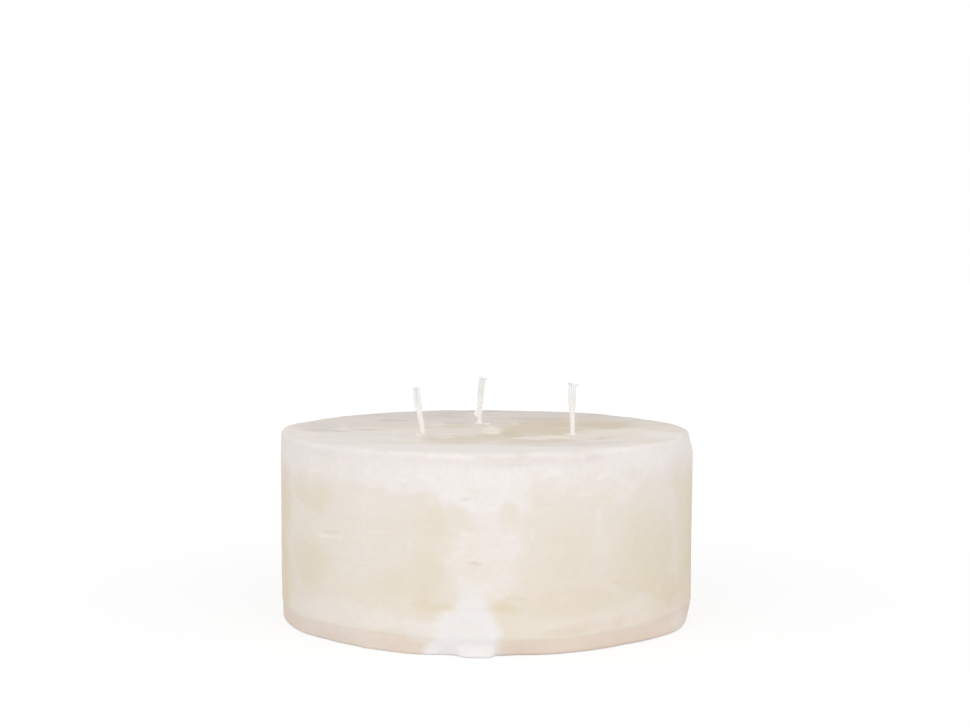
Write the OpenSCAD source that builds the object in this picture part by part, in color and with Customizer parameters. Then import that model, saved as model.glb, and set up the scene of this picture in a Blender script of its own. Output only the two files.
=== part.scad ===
// Broad cast pillar candle with three plaited wicks.
// The wax is poured twice: the body first, then a thin base layer that levels the foot.
// Each wick is crimped into a tinplate tab under the base layer, runs up a hole through the wax,
// and is closed in at the top by a small collar of wax. The foot stands on z = 0.

/* [Candle] */
// Diameter of the wax body
candle_d = 150; // [110:1:250]
// Height from the foot to the flat top
candle_h = 68; // [40:1:150]
// Rounding of the rim
rim_r = 2; // [0.5:0.1:5]

/* [Base layer] */
// Height of the second pour
base_h = 5.9; // [3:0.1:12]
// How far its wall lies inside the wall of the body
base_step = 0.5; // [0.2:0.1:2]
// Rounding of its bottom edge
base_edge_r = 1.2; // [0.4:0.1:2.5]
// Rounding of its upper edge, where it meets the body
base_top_edge_r = 0.2; // [0.1:0.1:1]
// Rounding of the body's lower edge, above the step
lap_r = 0.6; // [0.2:0.1:2]

/* [Wick places] */
// Place of the left wick on the top
wick_left_at = [-23, -14]; // [-40:0.5:40]
// Place of the rear wick on the top
wick_rear_at = [-2.5, 26]; // [-40:0.5:40]
// Place of the right wick on the top
wick_right_at = [31, -14.5]; // [-40:0.5:40]

/* [Wicks] */
// Length of the left wick that stands out of the top
free_left = 16.6; // [8:0.1:30]
// Length of the rear wick that stands out of the top
free_rear = 16.4; // [8:0.1:30]
// Length of the right wick that stands out of the top
free_right = 17.6; // [8:0.1:30]
// Width of the flat plait where wax binds it
wick_w = 1.8; // [1.6:0.1:4]
// Thickness of the flat plait where wax binds it
wick_t = 1.5; // [1.4:0.1:4]
// Diameter of each of the three strands
strand_d = 1; // [0.8:0.1:1.4]
// Length of wick in which a strand crosses over and back
plait_pitch = 4.6; // [3:0.1:10]
// How much wider the dry end of the plait has opened than its bound foot
opening = 0.9; // [0:0.1:1.5]
// How much wider the cut end flares than the dry plait
tip_flare = 1.3; // [0:0.1:2]
// Length of wick over which the cut end flares
tip_h = 2; // [1:0.5:6]

/* [Wick holes and seals] */
// Gap between the wick and the wall of its hole
hole_gap = 0.5; // [0.3:0.1:1.5]
// Depth that a seal fills down the hole
seal_plug_h = 3; // [1:0.5:10]
// Height of a seal's hollow-sided collar
seal_h = 0.7; // [0.4:0.1:3]
// Thickness of a collar's outer edge
seal_edge = 0.15; // [0.1:0.05:1]
// Wall of a collar at its top
seal_lip = 0.35; // [0.2:0.05:1]

/* [Wick tabs] */
// Diameter of a tab's disc
tab_d = 20; // [12:0.5:28]
// Thickness of the tinplate
tab_t = 0.4; // [0.2:0.05:1]
// Height of the neck, from the underside of the disc
neck_h = 6.4; // [3:0.1:10]
// Rounding between the disc and the neck
neck_fillet_r = 0.9; // [0.3:0.1:2]
// How far the disc lies above the foot, so that the candle stands on wax
tab_recess = 0.5; // [0.2:0.1:2]
// Depth of the four crimps in the neck
crimp_depth = 0.2; // [0.05:0.05:0.3]
// Radius of the crimping jaws
crimp_r = 1.1; // [0.6:0.1:2]

/* [Fit] */
// Clearance between pieces that fit in each other
fit_gap = 0.1; // [0.05:0.05:0.3]

/* [Hidden] */
$fn = 96;

wax_colour = "#ebe2d3";
base_colour = "#e2d3c1";
seal_colour = "#f1ece3";
cotton_colour = "#f6f3ee";
tinplate_colour = "#b8babc";

candle_r = candle_d / 2;
hole_r = wick_w / 2 + hole_gap;
bore_in_neck_r = wick_w / 2 + fit_gap;
neck_r = bore_in_neck_r + tab_t;
tab_top_z = tab_recess + tab_t;
neck_top_z = tab_recess + neck_h;
seal_top_z = candle_h + seal_edge + seal_h;
wick_places = [wick_left_at, wick_rear_at, wick_right_at];
// Length past a face that a cutting solid runs, so that it cuts clean through
overcut = 2;

// Lean of each wick: at its foot, at its tip, and the direction that it leans in, from +X
lean_left = [-13, -2, 12];
lean_rear = [1, 10, -20];
lean_right = [-2.5, 3, 25];
// Share of the free wick that wax still binds, above which the plait opens
bound_share = 0.4;
// Share of the free wick in which it bends over from upright to its lean at the foot
bend_share = 0.2;
// Sides of a wick's section, and sections in one pitch of its plait
wick_sides = 18;
sections_per_pitch = 11;

// The waste that rounding takes off the outer corner of a half section, upper or lower
module corner_waste(r) {
    difference() {
        square(r + overcut);
        circle(r);
    }
}

// Half section of a pour between two heights, with both its outer edges rounded
module pour_section(r, z0, z1, low_edge_r, high_edge_r) {
    difference() {
        translate([0, z0]) square([r, z1 - z0]);
        translate([r - high_edge_r, z1 - high_edge_r]) corner_waste(high_edge_r);
        translate([r - low_edge_r, z0 + low_edge_r]) mirror([0, 1]) corner_waste(low_edge_r);
    }
}

// Room for one tab: its disc, its neck and the rounding between them
module tab_room() {
    translate([0, 0, -overcut]) cylinder(r = tab_d / 2 + fit_gap, h = tab_top_z + overcut);
    cylinder(r = neck_r + fit_gap, h = neck_top_z + fit_gap);
    translate([0, 0, tab_top_z - fit_gap])
        cylinder(neck_fillet_r + fit_gap, neck_r + neck_fillet_r + 2 * fit_gap, neck_r + fit_gap);
}

// The holes and tab rooms that run through both pours, at all three wicks
module wick_cuts() {
    for (at = wick_places) translate([at[0], at[1], 0]) {
        translate([0, 0, -overcut]) cylinder(r = hole_r, h = candle_h + 2 * overcut);
        tab_room();
    }
}

// First pour: the pillar itself
module wax_body() {
    color(wax_colour) difference() {
        rotate_extrude() pour_section(candle_r, base_h, candle_h, lap_r, rim_r);
        wick_cuts();
    }
}

// Second pour: the layer that levels the foot
module base_layer() {
    color(base_colour) difference() {
        rotate_extrude() pour_section(candle_r - base_step, 0, base_h, base_edge_r, base_top_edge_r);
        wick_cuts();
    }
}

// Distance from the plait's centre to the skin of a strand at c, looking out at an angle
function strand_reach(c, angle) =
    let (along = c * [cos(angle), sin(angle)], across = c * [sin(angle), -cos(angle)])
    abs(across) < strand_d / 2 ? along + sqrt(pow(strand_d / 2, 2) - across * across) : 0;

// Outline of the plait: three strands that weave a figure of eight, a third of a pitch apart
function plait_reach(turn, angle) = max([
    for (k = [0:2]) let (t = turn + 120 * k)
    strand_reach([(wick_w - strand_d) / 2 * sin(t), (wick_t - strand_d) / 2 * sin(2 * t)], angle)
]);

// Lean of a wick at a share u of its free length: it bends over at the foot, then eases to its tip
function lean_at(lean, u) = u < bend_share
    ? lean[0] * u / bend_share
    : lean[0] + (lean[1] - lean[0]) * (u - bend_share) / (1 - bend_share);

// Rise from 0 to 1, level at both ends
function ease(u) = let (t = min(1, max(0, u))) t * t * (3 - 2 * t);

// How far the skin of a wick at a share u of its free length lies outside the bound plait
function spread_at(u, from_tip) = opening / 2 * ease((u - bound_share) / (1 - bound_share))
    + tip_flare / 2 * pow(max(0, 1 - from_tip / tip_h), 2);

// One wick: a round run up the hole, then the plait along its leaning free length
module wick(at, wick_free, lean) {
    length = wick_free - (seal_top_z - candle_h);
    n = ceil(length / plait_pitch * sections_per_pitch);
    step = length / n;
    angles = [for (i = [0:wick_sides - 1]) i * 360 / wick_sides];
    out = [cos(lean[2]), sin(lean[2]), 0];
    aside = [-sin(lean[2]), cos(lean[2]), 0];
    start = [at[0], at[1], seal_top_z];
    function heading(tilt) = sin(tilt) * out + cos(tilt) * [0, 0, 1];
    line = [for (i = 0, p = start; i <= n; p = p + step * heading(lean_at(lean, i / n)), i = i + 1) p];
    buried = [for (z = [tab_recess, seal_top_z]) [for (a = angles)
        [at[0], at[1], z] + wick_w / 2 * (cos(a) * out + sin(a) * aside)]];
    free = [for (i = [1:n]) let (
        tilt = lean_at(lean, i / n),
        across = cos(tilt) * out - sin(tilt) * [0, 0, 1],
        turn = i * step / plait_pitch * 360,
        spread = spread_at(i / n, (n - i) * step)
    ) [for (a = angles) line[i] + (plait_reach(turn, a) + spread) * (cos(a) * across + sin(a) * aside)]];
    rings = concat(buried, free);
    last = len(rings) - 1;
    quads = [for (k = [0:last - 1], i = [0:wick_sides - 1]) let (
        a = k * wick_sides + i, b = k * wick_sides + (i + 1) % wick_sides
    ) each [[a, a + wick_sides, b], [b, a + wick_sides, b + wick_sides]]];
    foot = [[for (i = [0:wick_sides - 1]) i]];
    tip = [[for (i = [wick_sides - 1:-1:0]) last * wick_sides + i]];
    color(cotton_colour) polyhedron([for (ring = rings) each ring], concat(foot, quads, tip), convexity = 4);
}

// Collar of wax at the top of one hole: a plug down the hole under a hollow-sided rise
module wick_seal(at) {
    collar = seal_lip + seal_h;
    color(seal_colour) translate([at[0], at[1], 0]) rotate_extrude() translate([bore_in_neck_r, candle_h]) {
        difference() {
            square([collar, seal_edge + seal_h]);
            translate([collar, seal_edge + seal_h]) circle(seal_h);
        }
        translate([0, -seal_plug_h]) square([hole_r - fit_gap - bore_in_neck_r, seal_plug_h]);
    }
}

// Tinplate tab: a disc with a drawn neck, crimped on the wick from four sides
module wick_tab(at) {
    crimp_z = (tab_top_z + neck_fillet_r + neck_top_z) / 2;
    color(tinplate_colour) translate([at[0], at[1], 0]) difference() {
        rotate_extrude() translate([bore_in_neck_r, tab_recess]) {
            square([tab_d / 2 - bore_in_neck_r, tab_t]);
            square([tab_t, neck_h]);
            translate([tab_t, tab_t]) difference() {
                square(neck_fillet_r);
                translate([neck_fillet_r, neck_fillet_r]) circle(neck_fillet_r);
            }
        }
        for (a = [0:90:270]) rotate(a)
            translate([neck_r + crimp_r - crimp_depth, 0, crimp_z]) sphere(crimp_r);
    }
}

wax_body();
base_layer();
wick(wick_left_at, free_left, lean_left);  // wick_left
wick(wick_rear_at, free_rear, lean_rear);  // wick_rear
wick(wick_right_at, free_right, lean_right);  // wick_right
wick_seal(wick_left_at);  // wick_seal_left
wick_seal(wick_rear_at);  // wick_seal_rear
wick_seal(wick_right_at);  // wick_seal_right
wick_tab(wick_left_at);  // wick_tab_left
wick_tab(wick_rear_at);  // wick_tab_rear
wick_tab(wick_right_at);  // wick_tab_right
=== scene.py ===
"""Broad cast pillar candle: two pours of mottled wax, plaited wicks in crimped tabs, and a plain studio.

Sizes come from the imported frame. Lengths are millimetres until a mesh is written, but metres in the settings,
in the stage and in the materials. A mark on the wall is placed by its distance round from the front and its
height, one on the top by x and y.
"""
import itertools
import math

import bpy
import numpy as np
from bpy.props import FloatProperty, FloatVectorProperty, IntProperty, PointerProperty
from bpy.types import NodeSocket, Operator, Panel, PropertyGroup
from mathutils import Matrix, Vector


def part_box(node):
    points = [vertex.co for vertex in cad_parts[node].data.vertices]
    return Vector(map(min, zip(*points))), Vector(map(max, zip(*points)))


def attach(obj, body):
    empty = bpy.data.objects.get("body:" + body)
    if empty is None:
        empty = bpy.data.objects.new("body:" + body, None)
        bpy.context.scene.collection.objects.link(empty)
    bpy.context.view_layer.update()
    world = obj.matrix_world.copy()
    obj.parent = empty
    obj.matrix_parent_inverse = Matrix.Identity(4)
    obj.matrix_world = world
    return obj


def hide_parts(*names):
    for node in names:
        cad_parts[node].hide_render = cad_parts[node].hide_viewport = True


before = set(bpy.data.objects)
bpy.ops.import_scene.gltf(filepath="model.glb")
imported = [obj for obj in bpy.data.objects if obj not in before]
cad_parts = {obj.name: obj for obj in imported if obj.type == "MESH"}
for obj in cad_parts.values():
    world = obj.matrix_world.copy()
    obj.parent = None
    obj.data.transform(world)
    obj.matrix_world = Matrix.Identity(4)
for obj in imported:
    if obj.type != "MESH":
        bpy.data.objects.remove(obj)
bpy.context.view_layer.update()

bl_info = {
    "name": "Pillar Candle",
    "version": (1, 0, 0),
    "blender": (4, 5, 0),
    "location": "View3D > Sidebar > Candle",
    "description": "Makes a broad cast pillar candle with three plaited wicks",
    "category": "Add Mesh",
}

MM = 0.001


def node_box(node):
    """Lowest and highest corner of a CAD node, in millimetres."""
    low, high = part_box(node)
    return np.array(low) / MM, np.array(high) / MM


BODY_LOW, BODY_HIGH = node_box("wax_body")
BASE_LOW, BASE_HIGH = node_box("base_layer")
BODY_R = (BODY_HIGH[0] - BODY_LOW[0]) / 2
BASE_R = (BASE_HIGH[1] - BASE_LOW[1]) / 2
LAP_Z = BODY_LOW[2]
TOP_Z = BODY_HIGH[2]
TAB_LOW, TAB_HIGH = node_box("wick_tab_left")
WALL_TURN = 2 * math.pi * BODY_R
# Rooms cut for the wicks: clearance of a tab, radii at its neck and up the hole, top of the disc's room
ROOM_GAP = 0.1
NECK_ROOM_R = 1.5
HOLE_R = 1.4
DISC_ROOM_Z = 0.9
# The cutter of a room: its sides, the radius of its blunt ends, and how far it goes past the wax
ROOM_SIDES = 48
ROOM_END_R = 0.2
OVERCUT = 5
UNDERCUT = 2

WICK_NAMES = ("left", "rear", "right")
# Lean of each wick in degrees: at its foot, at its tip, and the direction that it leans in, from +X
WICK_LEANS = {"left": (-13, -2, 12), "rear": (1, 10, -20), "right": (-2.5, 3, 25)}
# Dry end of each plait: its width, how far its cut end frays to the left and to the right, and its slope
WICK_ENDS = {"left": (2.5, 0.1, 0.1, 0.0), "rear": (2.7, 0.7, 1.4, 0.04), "right": (2.6, 0.7, 1.5, 0.18)}
# Turn of the plait at its dry end, in degrees: at 0 its strands lie side by side, at 30 two overlap
WICK_TURNS = {"left": 15, "rear": 0, "right": 0}

# Torn wax film beside a wick: direction from +X, lower and upper end above the top, reach, half thickness
WICK_FILMS = {
    "left": (),
    "rear": ((185, 1.4, 4.6, 1.5, 0.2), (-15, 3.0, 4.9, 0.6, 0.2)),
    "right": ((10, 3.2, 4.4, 0.4, 0.2),),
}
# Crumbs of wax round a wick: x, y, and half sizes
WICK_CRUMBS = {
    "left": ((-24, -17, 1.6, 1.3, 1.1), (-13.2, -22.9, 0.6, 1.2, 0.4)),
    "rear": ((0.5, 23.3, 1.9, 2.0, 0.6),),
    "right": ((29, -14.8, 0.9, 0.8, 0.6), (33.2, -14.4, 0.6, 0.6, 0.55)),
}

# Patches on the wall: distance round from the front, height, half width, half height, strength
FROST_PATCHES = (
    (50, 53, 8, 5, 0.6), (36, 57, 9, 4, 0.5), (-55, 10.5, 32, 5, 0.35), (35, 10.5, 24, 3, 0.2),
    (58, 11, 9, 6, 0.3), (-40, 50, 16, 9, 0.4), (-45, 32, 18, 10, 0.25), (-38, 10, 10, 4, 0.45),
    (86, 66, 14, 4, 0.6), (-92, 64, 16, 5, 0.3), (56, 65, 12, 7, 0.95), (-45, 47, 22, 6, 0.3),
)
# Clear amber wax; the patches beyond about 85 round from the front on either side are painted shade, where the
# wall turns away from the light
AMBER_AND_SIDE_SHADE_PATCHES = (
    (-72, 51, 13, 7, 0.8), (-20, 27, 6, 13, 0.5), (-19, 44, 6, 6, 0.5), (-72, 26, 14, 8, 0.5),
    (-17, 16.8, 8, 1.4, 0.7), (7, 16.8, 7, 1.8, 0.7), (62, 28, 18, 20, 0.6), (28, 36, 9, 12, 0.3),
    (78, 15, 10, 6, 0.8), (86, 52, 9, 12, 0.6), (88, 34, 10, 14, 0.6), (95, 45, 15, 20, 1.0),
    (102, 18, 19, 20, 1.0), (30, 8.2, 11, 1.9, 0.4), (48.5, 9, 2.2, 1.6, 0.8), (-97, 47, 13, 18, 0.9),
    (-102, 20, 15, 21, 0.9), (-30, 24, 10, 6, 0.3), (30, 18, 16, 6, 0.4), (76, 9, 14, 3, 0.5),
    (70.3, 8.6, 1.5, 1, 0.8),
)
# Clear wax so deep that it looks darker, and at the far left and right of the wall painted shade, where the
# wall turns away from the light
DEEP_WAX_AND_SIDE_SHADE_PATCHES = (
    (104, 38, 9, 15, 0.36), (108, 16, 12, 15, 0.4), (-105, 47, 8, 14, 0.28), (-109, 25, 9, 16, 0.3),
    (79, 10.8, 5, 2.6, 0.45), (27.5, 8.2, 8.5, 1.8, 0.35),
)
# Places in the white wax in front where the ivory shows through; the one under the rim is painted shade on the
# rim's lit edge
FROST_GAPS = (
    (8, 47, 4.5, 5, 0.65), (-20, 51, 5, 3, 0.4), (-3, 28, 3, 5, 0.3), (11, 31, 3, 4, 0.4),
    (8, 66, 9, 2.5, 0.2),
)
# Strength of that white wax by height; its fall at the very top is painted shade on the rim's lit edge
FROST_STRENGTH = ((0, 0.8), (18, 0.62), (28, 0.52), (42, 0.58), (50, 0.9), (62, 0.92), (68, 0.75))
# Edge of the white wax in front: a column up the wall that spreads out under the rim
FROST_EDGE = (
    (0.5, 15), (1, 18.5), (4.6, 20.8), (9, 22.5), (11, 26), (12, 30), (13, 36), (13, 43), (15.5, 48),
    (17, 55.5), (24, 57), (28, 60.5), (40, 59.8), (46.5, 53), (56, 50.5), (65, 57.5), (79, 61.5),
    (86, 66), (86, 75), (-90, 75), (-86, 66), (-72, 60), (-58, 55), (-48, 54), (-37, 54), (-27, 52),
    (-20, 51), (-12, 50), (-7, 48), (-6, 43), (-9, 40), (-12, 36), (-12.5, 31), (-11.5, 26), (-10, 22),
    (-10, 15),
)
# Height of the first pour's lower edge round the front
LAP_EDGE = (
    (-118, 4.7), (-92, 4.5), (-75, 4.5), (-61, 5), (-46, 5), (-32, 4.9), (-23, 4.2), (-17, 3.8), (5, 4),
    (19, 3.9), (32, 4.2), (41, 4.4), (52, 4.7), (62, 4.2), (73, 5.5), (86, 5.8), (118, 4.7),
)
# How far the body's wall and the foot band stand out of round, by distance round from the front
WALL_SWELL = ((-235, 0), (-118, 0), (-60, 0), (60, 0), (118, 0.65), (235, 0))
FOOT_SWELL = (
    (-235, 0), (-118, -0.1), (-90, 0), (-78, 0.1), (-72, -0.6), (-65, -1.4), (-50, -1.4), (-45, -0.6),
    (-36, -0.6), (-26, 0), (-20, -0.4), (-16, -1.5), (-7, -1.3), (6, -1.1), (10, -1.6), (17, -0.5),
    (22, 0), (39, -0.2), (45, -0.25), (52, -0.7), (59, -0.1), (66, 0.4), (72, 0.8), (78, 1.3), (86, 1.2),
    (92, 0.4), (98, -0.4), (106, -1.1), (116, -1.4), (125, -1.3), (145, -0.6), (235, 0),
)
# Rim by distance round from the front: its rounding and its hand trim, as shares of the largest
RIM_SHAPE = (
    (-235, 1, 0.2), (-150, 0.8, 0.2), (-118, 0.7, 0.28), (-100, 0.7, 0.25), (-80, 0.7, 0.1),
    (-60, 0.9, 0), (0, 1, 0), (40, 0.9, 0.1), (80, 0.75, 0.9), (104, 0.7, 1.25), (118, 0.7, 1.25),
    (160, 0.9, 0.9), (235, 1, 0.2),
)
# Paler patches of the foot, and places where the second pour's tone reaches up the wall
FOOT_FROST = ((84, 3, 7, 4, 0.3), (-55, 3, 24, 8, 0.2))
FOOT_TONES = (
    (74, 9, 24, 5, 0.5), (80, 11, 5, 3, 0.7), (40, 8.5, 16, 3, 0.5), (99, 12, 10, 10, 0.5),
    (30, 20, 22, 12, 0.2),
)
# Edge of the white wax that ran down the front to the floor, as places on the wall
RUN_EDGE = (
    (-29.5, 7), (-23, 5.7), (-19, 4.8), (-20, 3.6), (-21.5, 1.5), (-22, -3), (4.8, -3.1), (4.6, 3),
    (3.9, 5.2), (5, 7.5), (3.6, 11), (2, 14.5), (0.6, 16.4), (0, 20), (-3.5, 24.5), (-7, 23.6),
    (-10, 18.5), (-11.2, 15.2), (-14.5, 14.7), (-16.6, 12.5), (-21, 11.9), (-27, 12.3), (-30, 10.4),
)
# Strokes on the wall: tone and half width, then the points; above 0 a pale ridge, below 0 a dark groove
STROKES = (
    (0.35, 0.9, (-88, 54), (-85.5, 50.5), (-81.5, 47.2), (-75, 45), (-68, 44)),
    (0.8, 0.7, (-88, 54), (-86.5, 51.5)),
    (0.8, 0.7, (-83.5, 48.5), (-80, 46.5)),
    (0.8, 0.6, (-66, 36.3), (-60, 36.4), (-54, 36.9)),
    (-0.6, 0.6, (-62, 37.9), (-55, 38.4)),
    (-1.0, 0.7, (-5.8, 31.5), (-2, 31.3)),
    (0.6, 0.6, (-6.5, 32.6), (-1.5, 32.4)),
    (0.6, 0.8, (39.5, 48), (39.8, 43), (39.2, 39)),
    (0.8, 0.8, (17.8, 59.8), (24.8, 61.2)),
    (-0.5, 0.7, (-8.5, 52.7), (-3.2, 52.6)),
    (0.9, 0.7, (-8, 41), (-4.5, 40.3)),
    (0.5, 0.7, (-13.8, 33.5), (-13.4, 31)),
    (0.8, 0.8, (-19, 66.3), (-11, 66)),
    (0.9, 0.8, (-8.5, 65.5), (-4.5, 65.2)),
    (0.8, 0.7, (20, 65.9), (33, 65.7)),
    (-0.5, 0.5, (3, 63.5), (14, 63.8)),
    (0.7, 0.8, (38.5, 58.5), (42.5, 59.8)),
    (-0.6, 0.5, (6.5, 19.7), (13.5, 19.4)),
    (0.4, 0.9, (2.5, 20.5), (5.5, 20.3)),
    (0.4, 0.6, (36.7, 32.3), (38.7, 33.8)),
    (0.7, 0.7, (57, 64), (62, 63.6)),
    (0.5, 0.6, (76, 42.5), (77.5, 40)),
    (0.4, 0.5, (-40, 40), (-33, 40.3)),
    (-0.5, 0.5, (45, 22.5), (56, 21.8)),
    (0.6, 0.7, (0.5, 66.6), (9.5, 66.6)),
    (0.5, 0.7, (15, 66.8), (28, 66.6)),
    (0.5, 0.7, (20.3, 6.6), (29.3, 5.9), (38.7, 6)),
    (0.4, 0.8, (71.7, 8.9), (80, 7.6), (89.9, 5.8)),
    (0.6, 0.6, (25.8, 19), (25.6, 17)),
    (0.7, 0.6, (-71, 58), (-65.5, 58.5)),
    (0.7, 0.6, (-30, 58.6), (-27, 57.7)),
    (0.5, 0.6, (-41, 55.1), (-37, 55.1)),
    (0.4, 0.6, (-26, 37.7), (-26.1, 35)),
    (0.9, 0.6, (-14.2, 66.4), (-9.6, 66.8), (-4, 65.9)),
    (0.6, 0.6, (15.5, 42.2), (15.5, 38.9)),
    (0.7, 0.6, (59.7, 58.4), (61.9, 59.2)),
    (0.6, 0.6, (85.5, 39), (87.8, 37.2)),
    (0.8, 0.6, (43.5, 52.6), (45.6, 53.8)),
    (0.8, 0.7, (52.3, 52.6), (54.7, 53.4)),
    (0.6, 0.6, (33.2, 53.3), (36.6, 53.1)),
    (0.6, 0.6, (-0.7, 41.4), (1.3, 42.1)),
)
# Patches on the top: x, y, half width in x, half width in y, strength
POOL_PATCHES = (
    (27, 25, 9, 26, 0.9), (44, 20, 14, 17, 0.9), (10, -11, 6, 24, 0.9), (18, -36, 14, 9, 0.65),
    (21, -10, 11, 11, 0.75), (-10, -31, 12, 15, 0.6), (-11, 16, 7, 8, 0.5), (17, 31, 6, 20, 0.8),
    (22, 0, 10, 18, 0.8), (36, 34, 12, 14, 0.6), (22, 10, 18, 30, 0.75), (4, -22, 12, 14, 0.6),
    (24, 44, 14, 10, 0.45),
)
# Grey streaks in the wax of the top, and broad patches of painted shade towards its far side
SHADE_PATCHES = (
    (-44, 3, 7, 2.6, 0.7), (-52.5, -4.5, 6.5, 1.8, 0.6), (-36, 34, 7, 4, 0.8), (20, 44, 13, 7, 0.7),
    (58, 8, 7, 14, 0.2), (-11, 29, 7, 4, 0.75), (40.5, -27, 2, 3, 0.4), (38, -43, 10, 7, 0.25),
    (-41, 36, 20, 26, 0.35), (-20, -25, 3, 10, 0.25), (4, -45, 18, 4, 0.2), (-62, 12, 8, 24, 0.45),
    (22, -51, 17, 4, 0.4), (46, 50, 13, 8, 0.6),
)
# Places behind where that painted shade is less grey
SHADE_GAPS = ((2, 56, 9, 8, 0.5),)
# Flakes of cream wax on the top
TOP_FLAKES = (
    (2, 0.2, 3.3, 15, 0.75), (15.5, -26.5, 7, 3.6, 0.6), (25, -21.5, 7, 3.8, 0.6),
    (-14, -19.6, 3.2, 10, 0.4), (-18, 21, 3.6, 4, 0.25), (46, -6, 15, 8, 0.3), (-26, -33, 4, 4, 0.3),
    (10.6, 26, 1.8, 4, 0.35), (36, -13, 4, 6, 0.25), (-27, 4, 6, 8, 0.35), (-37, -4, 7, 8, 0.35),
    (-13, -10, 3, 4, 0.4), (-46, -9, 8, 4, 0.35), (52, 0, 8, 5, 0.3),
)
# White frost on the top away from the front
TOP_FROST_PATCHES = (
    (63, -20, 8, 14, 0.8), (-65, -18, 6, 14, 0.7), (57, 44, 16, 5, 0.4), (-28, -56, 16, 9, 1.0),
    (-48, -28, 24, 22, 0.6), (60, -8, 6, 10, 0.6), (-42, -20, 9, 9, 0.4),
)
# Frost on the top by y, and painted shade, a grey that deepens towards the far side
TOP_FROST = ((-71, 0.9), (-52, 0.9), (-47, 0.4), (-20, 0.25), (20, 0.12), (40, 0.1), (62, 0.4))
TOP_SHADE = ((0, 0.05), (30, 0.3), (60, 0.65))
# Where the top stands higher or lower than level: x, y, half widths, height
TOP_LIFTS = ((62, 38, 16, 24, -0.35), (-75, 5, 9, 24, 0.4))


def srgb(red, green, blue):
    """Scene-linear colour of a screen colour given from 0 to 255."""
    share = np.array([red, green, blue]) / 255
    linear = np.where(share <= 0.04045, share / 12.92, ((share + 0.055) / 1.055) ** 2.4)
    return tuple(float(x) for x in linear)


def smooth(low, high, x):
    """Rise from 0 at low to 1 at high, level at both ends: 3 t squared less 2 t cubed."""
    t = np.clip((x - low) / (high - low), 0, 1)
    return t * t * (3 - 2 * t)


def through(places, x):
    """Value at x of straight lines through (place, value) pairs."""
    return np.interp(x, *zip(*places))


def angles_round(count):
    """Angles of a ring's points, from 0 to a full turn."""
    return np.linspace(0, 2 * math.pi, count, endpoint=False)


def turned(radius, phi, height):
    """Points round the axis: radius times the sine of the angle from -Y, less its cosine, and the height."""
    return np.stack(np.broadcast_arrays(radius * np.sin(phi), -radius * np.cos(phi), height), -1)


def hashed(cell, seed):
    """Fixed value from 0 to 1 for each whole-numbered cell: its numbers are multiplied and folded."""
    i, j, k = (cell[..., axis].astype(np.int64).astype(np.uint32) for axis in range(3))
    n = i * np.uint32(0x8DA6B343) + j * np.uint32(0xD8163841) + k * np.uint32(0xCB1AB31F)
    n = n + np.uint32(seed * 0x9E3779B1 & 0xFFFFFFFF)
    n = (n ^ (n >> np.uint32(13))) * np.uint32(0x5BD1E995)
    n = (n ^ (n >> np.uint32(15))) * np.uint32(0x27D4EB2F)
    return (n ^ (n >> np.uint32(16))) / np.float64(2**32)


def noise(p, size, seed):
    """Cloudy value from 0 to 1 at points p: the values at a cell's eight corners, eased between."""
    q = p / size
    cell = np.floor(q)
    ease = smooth(0, 1, q - cell)
    total = np.zeros(p.shape[:-1])
    for corner in itertools.product((0, 1), repeat=3):
        weight = np.prod(np.where(corner, ease, 1 - ease), axis=-1)
        total += weight * hashed(cell + corner, seed)
    return total


def clouds(p, size, octaves, seed):
    """Sum of noises, each half the size and half the height of the one before, from -0.5 to 0.5.

    Another seed gives other clouds, and each effect has its own.
    """
    heights = 0.5 ** np.arange(octaves)
    layers = [h * noise(p, size / 2**k, seed + 17 * k) for k, h in enumerate(heights)]
    return sum(layers) / heights.sum() - 0.5


def round_from_front(p):
    """Distance round the wall from the front: the radius times the angle from -Y towards +X."""
    return BODY_R * np.arctan2(p[..., 0], -p[..., 1])


def patches(a, b, spots, turn=None, fade=(1.3, 0.5)):
    """Strongest of some soft ellipses at places (a, b). With turn, a comes back to itself after it.

    An ellipse fades from 0 to its strength between two shares of its half widths.
    """
    strongest = np.zeros(a.shape)
    for a0, b0, half_a, half_b, strength in spots:
        da = a - a0
        if turn:
            da = (da + turn / 2) % turn - turn / 2
        reach = np.hypot(da / half_a, (b - b0) / half_b)
        strongest = np.maximum(strongest, strength * smooth(*fade, reach))
    return strongest


def leg_distance(a, b, start, end):
    """Distance from places (a, b) to a straight leg, whose nearest point is a clipped share along it."""
    (a0, b0), (a1, b1) = start, end
    leg = (a1 - a0) ** 2 + (b1 - b0) ** 2
    share = np.clip(((a - a0) * (a1 - a0) + (b - b0) * (b1 - b0)) / leg, 0, 1)
    return np.hypot(a - a0 - share * (a1 - a0), b - b0 - share * (b1 - b0))


def stroke(a, b, points, half_width):
    """1 on a line through some points, falling to 0 past its half width, by the distance to each leg."""
    legs = [leg_distance(a, b, *ends) for ends in itertools.pairwise(points)]
    return smooth(1.5 * half_width, 0, np.minimum.reduce(legs))


# How far round from the front the front's own patches and strokes reach
FRONT_PATCHES_END = 125
FRONT_STROKES_END = 95


def far_side_patches(count, heights, half_width, half_height, seed):
    """Patches on the wall behind, where the front's own lists end, in the same manner as in front."""
    rng = np.random.default_rng(seed)
    places = rng.uniform(FRONT_PATCHES_END, WALL_TURN - FRONT_PATCHES_END, count)
    rises = rng.uniform(*heights, count)
    wide = half_width * rng.uniform(0.5, 1.5, count)
    high = half_height * rng.uniform(0.5, 1.5, count)
    strong = rng.uniform(0.4, 0.9, count)
    return tuple(zip(places, rises, wide, high, strong))


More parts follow.
